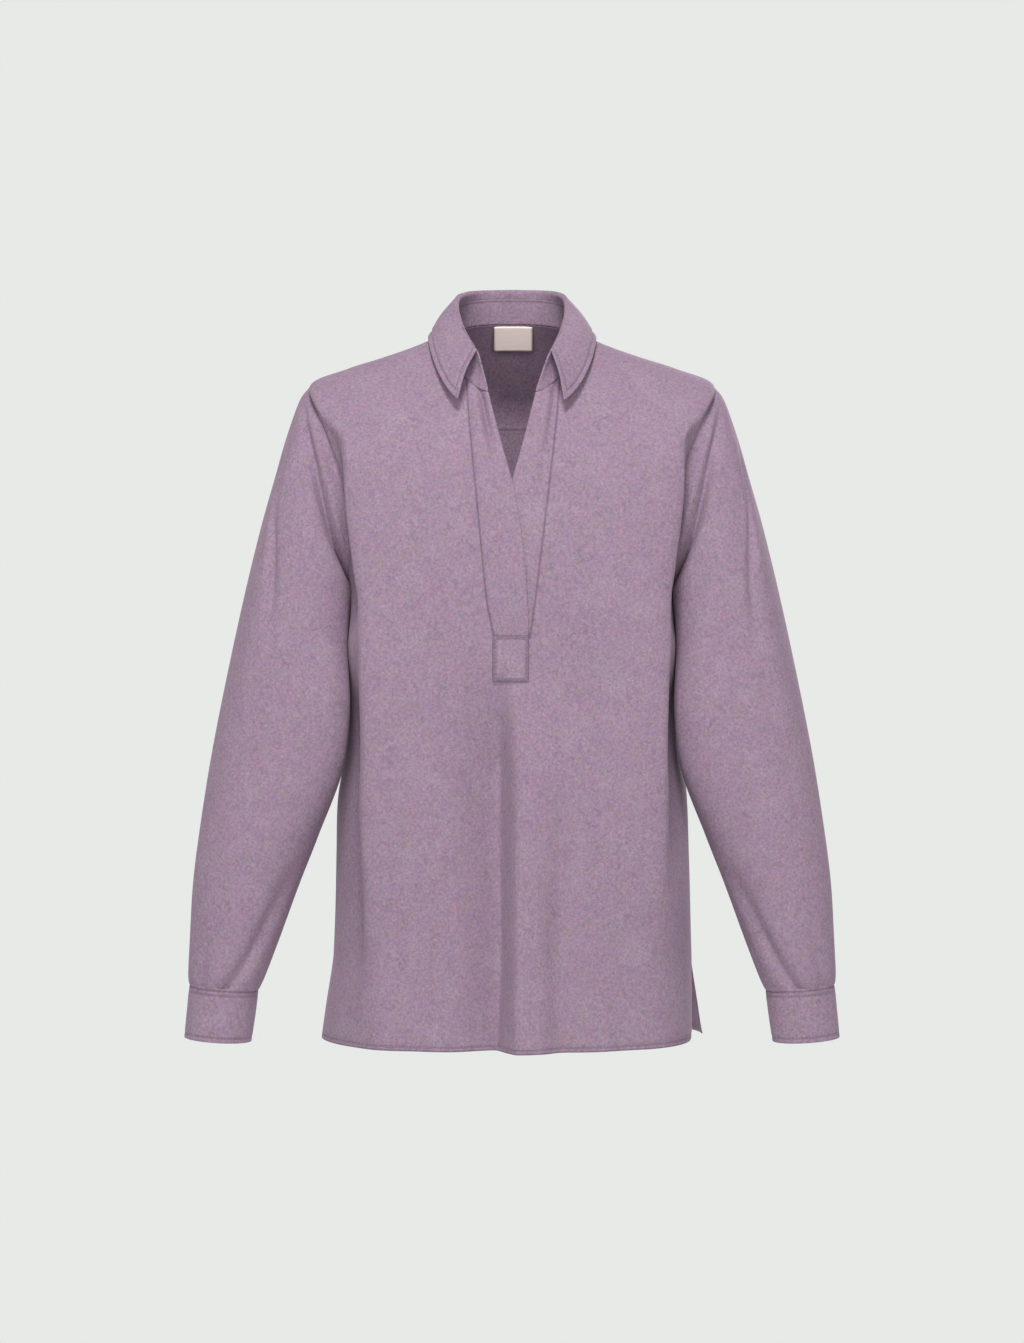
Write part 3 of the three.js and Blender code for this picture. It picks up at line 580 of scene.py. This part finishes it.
edge_rows = np.linspace(TIP_ROW, YOKE_CORNER, 16)
edge_turns = (edge_rows - TIP_ROW) / (UNDERARM_ROW - TIP_ROW) * math.pi
edge_angles = QUARTER + ARMHOLE_SCOOP * np.sin(edge_turns) + 1e-3
yoke_shares = np.linspace(-1, 1, 131)[1:-1]
yoke_angles = np.concatenate([edge_angles, math.pi + yoke_shares * YOKE_SPAN,
                              2 * math.pi - edge_angles[::-1]])
yoke_ends = np.concatenate([edge_rows, yoke_row(yoke_shares), edge_rows[::-1]]) - 0.003
yoke_along = 0.03 + (yoke_ends - 0.03) * np.linspace(0, 1, 42)[:, None]
yoke = cloth("yoke_panel", panel_point("back"), yoke_angles[None, :], yoke_along, CLOTH,
             seams="left right top bottom")
dress(yoke, "yoke", shirting)

back_rows = np.concatenate([
    np.linspace(YOKE_CORNER + 0.003, UNDERARM_ROW, 52, endpoint=False),
    np.linspace(UNDERARM_ROW, SLIT_ROW, 90, endpoint=False),
    hem_rows,
])[:, None]
back_shares = np.linspace(-1, 1, 151)
to_yoke = (YOKE_CORNER - yoke_row(back_shares)) * np.clip(
    (UNDERARM_ROW - back_rows) / (UNDERARM_ROW - YOKE_CORNER), 0, 1)
back = cloth(
    "back_panel", panel_point("back"), math.pi + back_shares * half_span(back_rows),
    back_rows - to_yoke, CLOTH, seams="left right top bottom", sewn="left right bottom",
    inset=HEM_STITCH, groove=0.9, sides_below=SLIT_TOP)
dress(back, "back", shirting)

# ---------------------------------------------------------------------------------------------
# The placket: two bands of two layers, sewn to the front's slot and lapped right over left, and a
# square tab that is stitched down over their lower ends.

BAND = 1.6  # two layers, pressed
CROSSING = -150  # height at which the free edges cross
FREE_TOP, FREE_LOW = 23.6, 15.2  # from the centre front to a free edge, at the neck and at the tab
BAND_ROLL = 4  # how far the free edges roll out below the collar
BAND_LAP = 1.3  # how far the right band lies out and the left in, where they lap
# A soft crease down each band below the collar: its share across, depth, and share of half-width.
BAND_CREASE = {"right": (0.66, 7, 0.16), "left": (0.2, 4.5, 0.18)}
TAB = {"left": -18, "right": 15.5, "top": -298.4, "bottom": -341}


def band_surface(name):
    """A band's middle surface, from its seam at 0 across to its free edge at 1."""
    side = SEAMS[name][0]

    def point(across, row):
        across, row = np.broadcast_arrays(across, row)
        height, low = column(BODY["front"], row), column(BODY["front"], SLOT_ROW)
        past = np.clip((CROSSING - height) / (CROSSING - low), 0, 1)
        open_edge = FREE_TOP * (height - CROSSING) / (BODY["front"][0] - CROSSING)
        free = np.where(height > CROSSING, open_edge, -FREE_LOW * (1 - (1 - past) ** 2))
        seam = seam_angle(name, row) - side * SEAM / 2 / column(BODY["half"], row)
        angle = seam + (angle_at(side * free, row) - seam) * across
        roll = BAND_ROLL * smooth(row / 1.5) * smooth((5 - row) / 4)
        lap = -side * BAND_LAP * smooth(across / 0.1) * smooth((row - 1) / 3)
        share, depth, width = BAND_CREASE[name]
        crease = depth * np.exp(-(((across - share) / width) ** 2))
        crease = crease * smooth((row + 0.2) / 0.6) * smooth((4.2 - row) / 2.6)
        out = roll * (np.sin(math.pi * across) - 0.8 * across ** 2) + lap - crease
        return body_point(angle, row) + normals(body_point, angle, row) * out[..., None]

    return point


band_rows = np.linspace(0.03, SLOT_ROW - 0.08, 96)[:, None]
band_shares = np.linspace(0, 1, 22)[None, :]
for name, turn in (("right", 1), ("left", -1)):
    band = cloth(f"placket_band_{name}", band_surface(name), band_shares, band_rows, BAND, turn=turn,
                 reverse=0, seams="left")
    dress(band, f"band_{name}", shirting)


def row_at(height):
    """The body's row at a height of its centre front."""
    return np.interp(-height, -BODY["front"], np.arange(len(BODY)))


tab_rows = np.linspace(row_at(TAB["top"]), row_at(TAB["bottom"]), 22)[:, None]
tab_places = np.linspace(TAB["left"], TAB["right"], 20)[None, :]
tab = cloth("placket_tab_square", body_point, angle_at(tab_places, tab_rows), tab_rows, BAND,
            out=CLOTH / 2 + SEAM + BAND / 2, reverse=0, seams="left right top bottom",
            sewn="left right top bottom", inset=2, groove=0.2)
dress(tab, "placket_tab", shirting)

# ---------------------------------------------------------------------------------------------
# The sleeves: long tubes of the same cotton, set into the armholes and closed by an underarm seam.
# They hang a little forward and taper to the cuffs.

# Rings of a sleeve, from below its head to its end: the outer and inner ends of each, how far
# forward its middle is, and half its depth.
SLEEVE = np.array([
    (211, -61, 161, -262, -3, 70),
    (223.7, -96.7, 161, -268, -5, 73),
    (235.5, -139, 161.5, -277, -9, 73),
    (248.5, -187, 162, -292, -15, 70),
    (264, -254, 162.5, -318, -25, 64),
    (281.3, -339, 163.6, -365, -38, 56),
    (296, -418.6, 166, -424, -47, 50),
    (307.3, -494, 191, -493, -51, 47),
    (313, -543, 209.4, -540, -52, 44),
    (316, -595.5, 229, -593.5, -51, 41),
    (317.6, -628, 243, -630, -50, 38),
    (316.2, -640, 250, -645, -50, 34),
], dtype=[(name, float) for name in "outer_x outer_z inner_x inner_z y depth".split()])


def sleeve_ring(ring, side, round_it):
    """A sleeve's ring: its outer point at 0, its front at a quarter turn."""
    middle_x, half_x = (ring["outer_x"] + ring["inner_x"]) / 2, (ring["outer_x"] - ring["inner_x"]) / 2
    middle_z, half_z = (ring["outer_z"] + ring["inner_z"]) / 2, (ring["outer_z"] - ring["inner_z"]) / 2
    return np.stack([
        side * (middle_x + half_x * np.cos(round_it)),
        ring["y"] - ring["depth"] * np.sin(round_it),
        middle_z + half_z * np.cos(round_it),
    ], -1)


def armhole_point(side, round_it):
    """A place on an armhole: the shoulder tip at 0, the front at a quarter turn."""
    turn = round_it % (2 * math.pi)
    ahead = turn <= math.pi
    part = np.where(ahead, turn, 2 * math.pi - turn)
    row = TIP_ROW + (UNDERARM_ROW - TIP_ROW) * part / math.pi
    scoop = ARMHOLE_SCOOP * np.sin(part)
    return body_point(side * np.where(ahead, QUARTER - scoop, QUARTER + scoop), row)


# Folds along the sleeves, with angles in degrees round from the outer line. The first two press
# each sleeve into the hollow beside the body's front, and the last three gather above the cuff.
SLEEVE_FOLDS = fold_table(
    ((0.4, 8.2), (1.8, 3), [135, 137, 138, 142, 150], 14, (28, 16)),
    ((4.8, 8.8), (1.4, 3), [136, 142, 150], 11, (26, 14)),
    ((2, 6), (1.2, 1.8), [18, 37, 60, 72], -5.5, (4.5, 7)),
    ((0.4, 8), (2, 5), [40, 44, 50], 3, (14, 12)),
    ((1, 8), (2, 4), [262, 255, 250], -5, (12, 14)),
    ((1, 9), (3, 4), [300, 296, 290], 4, (14, 14)),
    ((8, 11.9), (2.4, 0.3), [150, 128, 96], -6, (13, 12)),
    ((9.4, 11.9), (1.6, 0.3), [60, 56, 52], -2.5, (9, 9)),
    ((8.6, 11.9), (2.4, 0.3), [220, 238, 256], -6, (12, 12)),
)
# Creases round the sleeve's head beside the armhole. Here a fold runs between two angles, and its
# line is how many rings out it lies.
HEAD_FOLDS = fold_table(
    ((6, 158), (80, 30), [0.7, 0.95, 1, 0.95, 0.8], -6.5, (0.22, 0.3)),
    ((12, 150), (50, 30), [0.35, 0.5, 0.52, 0.5, 0.4], 3.2, (0.22, 0.2)),
    ((200, 350), (30, 26), [0.8, 1, 0.8], -5, (0.25, 0.35)),
)
NO_TURN = 9999  # for a fold whose line doesn't run round


def sleeve_surface(side):
    """A sleeve's middle surface, from the armhole at 0 along its rings."""

    def ring_point(round_it, number):
        rings = SLEEVE[np.clip(number, 1, len(SLEEVE)) - 1]
        placed = sleeve_ring(rings, side, round_it)
        return np.where((number <= 0)[..., None], armhole_point(side, round_it), placed)

    def point(round_it, along):
        round_it, along = np.broadcast_arrays(round_it, along)
        ring = np.clip(np.floor(along).astype(int), 0, len(SLEEVE) - 1)
        start, end, after = (ring_point(round_it, ring + step) for step in (0, 1, 2))
        before = np.where((ring > 0)[..., None], ring_point(round_it, ring - 1), 2 * start - end)
        degrees = np.degrees(round_it) % 360
        out = fold_height(SLEEVE_FOLDS, degrees, along)
        out = out + fold_height(HEAD_FOLDS, along, degrees, NO_TURN)
        outward = np.stack([side * np.cos(round_it), -np.sin(round_it), 0.3 * np.cos(round_it)], -1)
        smooth_point = cubic(before, start, end, after, (along - ring)[..., None])
        return smooth_point + outward * out[..., None]

    return point


sleeve_rounds = np.linspace(0, 2 * math.pi, 144, endpoint=False)[None, :]
sleeve_rings = np.concatenate([
    np.linspace(0.02, 1.2, 16, endpoint=False),
    np.linspace(1.2, 9.2, 120, endpoint=False),
    np.linspace(9.2, len(SLEEVE) - 0.02, 34),
])[:, None]
for name, side in (("right", -1), ("left", 1)):
    sleeve = cloth(f"sleeve_{name}_tube", sleeve_surface(side), sleeve_rounds, sleeve_rings, CLOTH,
                   wrap=True, turn=-side, seams="bottom")
    dress(sleeve, f"sleeve_{name}", shirting)

# ---------------------------------------------------------------------------------------------
# The cuffs: plain closed bands of two layers of the same cotton with interlining between, sewn to
# the sleeves' ends and stitched along both edges.

FIRM = 2.0  # two layers with interlining
CUFF = np.array([
    (316.3, -640.2, 250.2, -645.2, -50, 33.8),
    (318.6, -665, 253.4, -670, -50.5, 33),
    (321, -689.5, 257, -694, -51, 33),
], dtype=SLEEVE.dtype)


def cuff_surface(side):
    """A cuff's middle surface, from the sleeve's end down."""

    def point(round_it, along):
        ring = {name: column(CUFF[name], along) for name in CUFF.dtype.names}
        return sleeve_ring(ring, side, round_it)

    return point


cuff_rounds = np.linspace(0, 2 * math.pi, 96, endpoint=False)[None, :]
cuff_places = np.linspace(0, len(CUFF) - 1, 26)[:, None]
for name, side in (("right", -1), ("left", 1)):
    cuff = cloth(f"cuff_{name}_band", cuff_surface(side), cuff_rounds, cuff_places, FIRM,
                 wrap=True, turn=-side, reverse=0, seams="top", sewn="top bottom", inset=4)
    dress(cuff, f"cuff_{name}", shirting)

# ---------------------------------------------------------------------------------------------
# The collar: a stand round the neck and a pointed fall that turns over it, each of two layers
# with interlining; the fall is topstitched all along its edge.

# Stations from the centre back to a front end: the neck seam's angle, the crest on the wearer's
# left and right, and where the leaf's edge lies over the body on the left and right.
COLLAR = np.array([
    (180, 0, 0, 59.5, 57, 180, 180, 0.42, 5),
    (152, 24.5, 24.5, 56.5, 56, 153, 153, 0.42, 5),
    (125, 42.5, 42.5, 41, 52.5, 127, 127, 0.44, 5),
    (100, 51.5, 53, 16, 44.5, 104, 104, 0.46, 4.5),
    (77, 53, 53, -10, 28, 81, 79, 0.54, 4.5),
    (49, 47, 45.5, -39, 4.5, 54, 51, 0.76, 8),
    (20, 37, 33.5, -69, -18, 30.5, 32, 0.98, 13),
], dtype=[(name, float) for name in
          "neck left_x right_x y z left_angle right_angle edge_row lift".split()])
STAND_SHARE = 0.74  # of the way from the neck seam to the crest
ROLL = 2.3  # radius at which the fall turns over the crest


def collar_lines(station):
    """The collar's neck seam, stand top, crest and leaf edge, from -1 on the right to 1."""
    side = np.where(station < 0, -1, 1)
    at = np.abs(station) * (len(COLLAR) - 1)
    value = {name: column(COLLAR[name], at) for name in COLLAR.dtype.names}
    neck = body_point(side * np.radians(value["neck"]), np.zeros_like(at)) + [0, 0, FIRM / 2 + SEAM]
    crest_x = side * np.where(side > 0, value["left_x"], value["right_x"])
    crest = np.stack([crest_x, value["y"], value["z"]], -1)
    angle = side * np.radians(np.where(side > 0, value["left_angle"], value["right_angle"]))
    row = value["edge_row"]
    edge = body_point(angle, row) + normals(body_point, angle, row) * value["lift"][..., None]
    return neck, neck + (crest - neck) * STAND_SHARE, crest, edge


def stand_surface(station, up):
    """The stand's middle surface, from the neck seam at 0 to its top at 1."""
    station, up = np.broadcast_arrays(station, up)
    neck, top, _, _ = collar_lines(station)
    return neck + (top - neck) * up[..., None]


def fall_surface(station, across):
    """The fall's middle surface, from the stand's top over the crest to the leaf's edge at 1."""
    station, across = np.broadcast_arrays(station, across)
    _, top, crest, edge = collar_lines(station)
    away = unit((edge - crest) * [1, 1, 0])
    up = np.array([0, 0, 1])
    knots = np.stack([
        top,
        crest - up * ROLL,
        crest + away * ROLL,
        crest + away * 2 * ROLL - up * ROLL,
        (crest + edge) / 2 + away * 4 + up * 2,
        edge,
    ])
    last = len(knots) - 1
    place = across * last
    start = np.clip(np.floor(place).astype(int), 0, last - 1)
    rows = np.indices(start.shape)
    near = [knots[(np.clip(start + step, 0, last), *rows)] for step in (-1, 0, 1, 2)]
    return cubic(*near, (place - start)[..., None])


collar_stations = np.linspace(-1, 1, 161)[None, :]
stand = cloth("collar_stand_band", stand_surface, collar_stations, np.linspace(0, 1, 14)[:, None],
              FIRM, turn=-1, reverse=0, sewn="bottom", inset=2.4, face=-1)
dress(stand, "collar_stand", shirting)

end_stations = np.linspace(0.955, 1, 22)  # close together near the leaf's edges for its stitches
leaf_stations = np.concatenate([
    -end_stations[::-1],
    np.linspace(-0.955, 0.955, 151)[1:-1],
    end_stations,
])[None, :]
leaf_places = np.concatenate([
    np.linspace(0.035, 0.86, 42, endpoint=False),
    np.linspace(0.86, 1, 24),
])[:, None]
fall = cloth("collar_fall_leaf", fall_surface, leaf_stations, leaf_places, FIRM, turn=-1, reverse=0,
             sewn="bottom left right", inset=5.6, groove=0.9)
dress(fall, "collar_fall", shirting)

# ---------------------------------------------------------------------------------------------
# The stitches: single lines of lockstitch in lilac thread, round the collar's fall, inside the
# stand, round the tab and both ends of the cuffs, and along the hems and the side slits.


def sewing_thread():
    """Lilac spun polyester thread, a little deeper than the cloth, with a dull gloss."""
    material = bpy.data.materials.new("spun_polyester_thread")
    material.use_nodes = True
    tree = material.node_tree
    tree.nodes.clear()
    place = add_node(tree, "ShaderNodeTexCoord").outputs["Object"]
    twist = add_node(tree, "ShaderNodeTexNoise", {
        "Vector": place, "Scale": 1 / (0.5 * MM)}).outputs["Fac"]
    colour = add_node(tree, "ShaderNodeMix", {
        MIX_SHARE: twist, MIX_FIRST: linear("#86708a"), MIX_SECOND: linear("#a08aa2")},
        data_type="RGBA").outputs[MIXED]
    shader = add_node(tree, "ShaderNodeBsdfPrincipled", {
        "Base Color": colour, "Roughness": 0.6, "IOR": 1.5, "Sheen Weight": 0.2})
    add_node(tree, "ShaderNodeOutputMaterial", {"Surface": shader.outputs[0]})
    return material


STITCH_SIZES = {"Pitch": 3.3 * MM, "Stitch Length": 2.5 * MM, "Thread Width": 0.42 * MM}
stitching = bpy.data.node_groups.new("lockstitch", "GeometryNodeTree")
stitching.interface.new_socket("Geometry", in_out="INPUT", socket_type="NodeSocketGeometry")
size_sockets = {
    size: stitching.interface.new_socket(size, in_out="INPUT", socket_type="NodeSocketFloat")
    for size in STITCH_SIZES
}
stitching.interface.new_socket("Geometry", in_out="OUTPUT", socket_type="NodeSocketGeometry")
given = add_node(stitching, "NodeGroupInput").outputs
seam_line = add_node(stitching, "GeometryNodeMeshToCurve", {"Mesh": given["Geometry"]}).outputs["Curve"]
spots = add_node(stitching, "GeometryNodeCurveToPoints", {
    "Curve": seam_line, "Length": given["Pitch"]}, mode="LENGTH").outputs
bead = add_node(stitching, "GeometryNodeMeshUVSphere", {
    "Segments": 6, "Rings": 4, "Radius": 0.5}).outputs["Mesh"]
scale = add_node(stitching, "ShaderNodeCombineXYZ", {
    "X": given["Thread Width"], "Y": given["Thread Width"], "Z": given["Stitch Length"]}).outputs[0]
sewn_row = add_node(stitching, "GeometryNodeInstanceOnPoints", {
    "Points": spots["Points"], "Instance": bead, "Rotation": spots["Rotation"], "Scale": scale,
}).outputs[0]
sewn_row = add_node(stitching, "GeometryNodeRealizeInstances", {"Geometry": sewn_row}).outputs[0]
sewn_row = add_node(stitching, "GeometryNodeSetMaterial", {
    "Geometry": sewn_row, "Material": sewing_thread()}).outputs[0]
add_node(stitching, "NodeGroupOutput", {"Geometry": sewn_row})

path_mesh = bpy.data.meshes.new("stitches_edge")
path_starts = np.cumsum([0] + [len(path) for path in stitch_paths])
path_edges = [
    (start + k, start + k + 1)
    for start, path in zip(path_starts, stitch_paths)
    for k in range(len(path) - 1)
]
path_mesh.from_pydata((np.concatenate(stitch_paths) * MM).tolist(), path_edges, [])
stitches = bpy.data.objects.new("stitches_edge", path_mesh)
bpy.context.scene.collection.objects.link(stitches)
sewing = stitches.modifiers.new("lockstitch", "NODES")
sewing.node_group = stitching
for size, socket in size_sockets.items():
    sewing[socket.identifier] = STITCH_SIZES[size]
made = stitches.evaluated_get(bpy.context.evaluated_depsgraph_get())
stitches.data = bpy.data.meshes.new_from_object(made)
stitches.modifiers.clear()
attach(stitches, "root")

# ---------------------------------------------------------------------------------------------
# The neck label: a plain cream label of woven polyester satin, folded double. It hangs from its
# top edge, which is sewn inside the yoke under the collar's seam.

LABEL = 1.0  # folded double
LABEL_SIZE = {"left": -18.2, "right": 20.8, "drop": 26.5}
LABEL_ROW = 0.04  # its top on the body, just under the neckline
LABEL_CURVE = 0.2  # how much it follows the neckline's curve
LABEL_INSIDE, LABEL_BELOW = 1.6, 1.2  # from the yoke's middle, and below the neckline
LABEL_HANG = math.radians(66)  # it hangs a little clear of the yoke


def woven_satin():
    """Cream polyester satin: long smooth floats that give it a soft gloss across the weave."""
    material = bpy.data.materials.new("cream_woven_satin")
    material.use_nodes = True
    tree = material.node_tree
    tree.nodes.clear()
    cut = add_node(tree, "ShaderNodeUVMap", uv_map="cut").outputs["UV"]
    # The weave's ribs are drawn coarser than real ones, 5 mm apart, so that they show at a step.
    weave = add_node(tree, "ShaderNodeTexWave", {
        "Vector": cut, "Scale": 1 / (0.8 * MM) / 20, "Distortion": 0.6,
    }, bands_direction="Y").outputs["Fac"]
    bump = add_node(tree, "ShaderNodeBump", {"Height": weave, "Strength": 0.3, "Distance": 0.1 * MM})
    shader = add_node(tree, "ShaderNodeBsdfPrincipled", {
        "Base Color": linear("#ddcbc5"), "Roughness": 0.55, "IOR": 1.5, "Sheen Weight": 0.2,
        "Normal": bump.outputs[0],
    })
    add_node(tree, "ShaderNodeOutputMaterial", {"Surface": shader.outputs[0]})
    return material


def label_surface(across, drop):
    """The label's middle surface, hanging from its top edge."""
    across, drop = np.broadcast_arrays(across, drop)
    angle = math.pi - np.arcsin(across / BODY["half"][0])
    top = body_point(angle, np.full(across.shape, LABEL_ROW)) * [1, LABEL_CURVE, 1]
    set_in = [0, (1 - LABEL_CURVE) * BODY["behind"][0] - LABEL_INSIDE, -LABEL_BELOW]
    hang = np.stack([0 * drop, np.cos(LABEL_HANG) * drop, -np.sin(LABEL_HANG) * drop], -1)
    return top + set_in + hang


label_drops = np.linspace(0, LABEL_SIZE["drop"], 14)[:, None]
label_places = np.linspace(LABEL_SIZE["right"], LABEL_SIZE["left"], 20)[None, :]
label = cloth("neck_label_satin", label_surface, label_places, label_drops, LABEL, reverse=0)
dress(label, "neck_label", woven_satin())

# ---------------------------------------------------------------------------------------------
# The studio: a pale backdrop and floor, a soft key light high in front, a wide even fill in front
# and another light behind, so that folds show from every side.


def emitter(name, place, target, size, power):
    """A white rectangular light at a place, turned to a target."""
    light = bpy.data.lights.new(name, "AREA")
    light.shape = "RECTANGLE"
    light.size, light.size_y = size
    light.energy = power
    lamp = bpy.data.objects.new(name, light)
    bpy.context.scene.collection.objects.link(lamp)
    lamp.location = place
    aim = np.array(target) - np.array(place)
    lamp.rotation_euler = (
        math.atan2(math.hypot(aim[0], aim[1]), -aim[2]), 0, math.atan2(aim[1], aim[0]) - QUARTER)


emitter("key_light", (-0.15, -1.9, 2.8), (0, 0, -0.3), (0.8, 0.66), 118)
emitter("fill_light", (0, -3.3, -0.2), (0, 0, -0.35), (2.4, 2.0), 66)
emitter("back_light", (0.9, 3.0, 1.2), (0, 0, -0.3), (2.0, 1.6), 90)

world = bpy.data.worlds.new("studio")
bpy.context.scene.world = world
world.use_nodes = True
room = world.node_tree
# The backdrop is full strength near the horizon, dimmer overhead, and a little dimmer in front.
toward = add_node(room, "ShaderNodeTexCoord").outputs["Generated"]
part = add_node(room, "ShaderNodeSeparateXYZ", {"Vector": toward}).outputs
overhead = add_node(room, "ShaderNodeMapRange", {
    "Value": part["Z"], "From Min": 0.22, "From Max": 0.36, "To Min": 1.0, "To Max": 0.32})
in_front = add_node(room, "ShaderNodeMapRange", {
    "Value": part["Y"], "From Min": -0.6, "From Max": -0.1, "To Min": 0.7, "To Max": 1.0})
strength = add_node(room, "ShaderNodeMath", {
    0: overhead.outputs["Result"], 1: in_front.outputs["Result"]}, operation="MULTIPLY").outputs[0]
backdrop = room.nodes["Background"]
PALE = linear("#e7eae7")
backdrop.inputs["Color"].default_value = PALE
room.links.new(strength, backdrop.inputs["Strength"])

FLOOR, FLOOR_RADIUS, FLOOR_SIDES = -1.45, 1.9, 64  # in metres; the floor under a standing wearer
floor_mesh = bpy.data.meshes.new("floor")
floor_rim = [
    (FLOOR_RADIUS * math.cos(turn), FLOOR_RADIUS * math.sin(turn), FLOOR)
    for turn in np.linspace(0, 2 * math.pi, FLOOR_SIDES + 1)[:-1]
]
floor_mesh.from_pydata(floor_rim, [], [list(range(FLOOR_SIDES))])
floor = bpy.data.objects.new("floor", floor_mesh)
bpy.context.scene.collection.objects.link(floor)
plaster = bpy.data.materials.new("matt_white_floor")
plaster.use_nodes = True
# Matt emulsion paint: pale and even, with no gloss.
plaster_inputs = plaster.node_tree.nodes["Principled BSDF"].inputs
plaster_inputs["Base Color"].default_value = PALE
plaster_inputs["Roughness"].default_value = 0.9
floor_mesh.materials.append(plaster)

camera_data = bpy.data.cameras.new("camera")
camera = bpy.data.objects.new("camera", camera_data)
bpy.context.scene.collection.objects.link(camera)
VIEW_DISTANCE, VIEW_HEIGHT, VIEW_SPAN = 3.0, -0.3315, 1.343  # in metres, straight from the front
camera.location = (0, -VIEW_DISTANCE, VIEW_HEIGHT)
camera.rotation_euler = (QUARTER, 0, 0)
camera_data.sensor_fit = "VERTICAL"
camera_data.angle_y = 2 * math.atan(VIEW_SPAN / 2 / VIEW_DISTANCE)
bpy.context.scene.camera = camera
bpy.context.scene.view_settings.view_transform = "Standard"
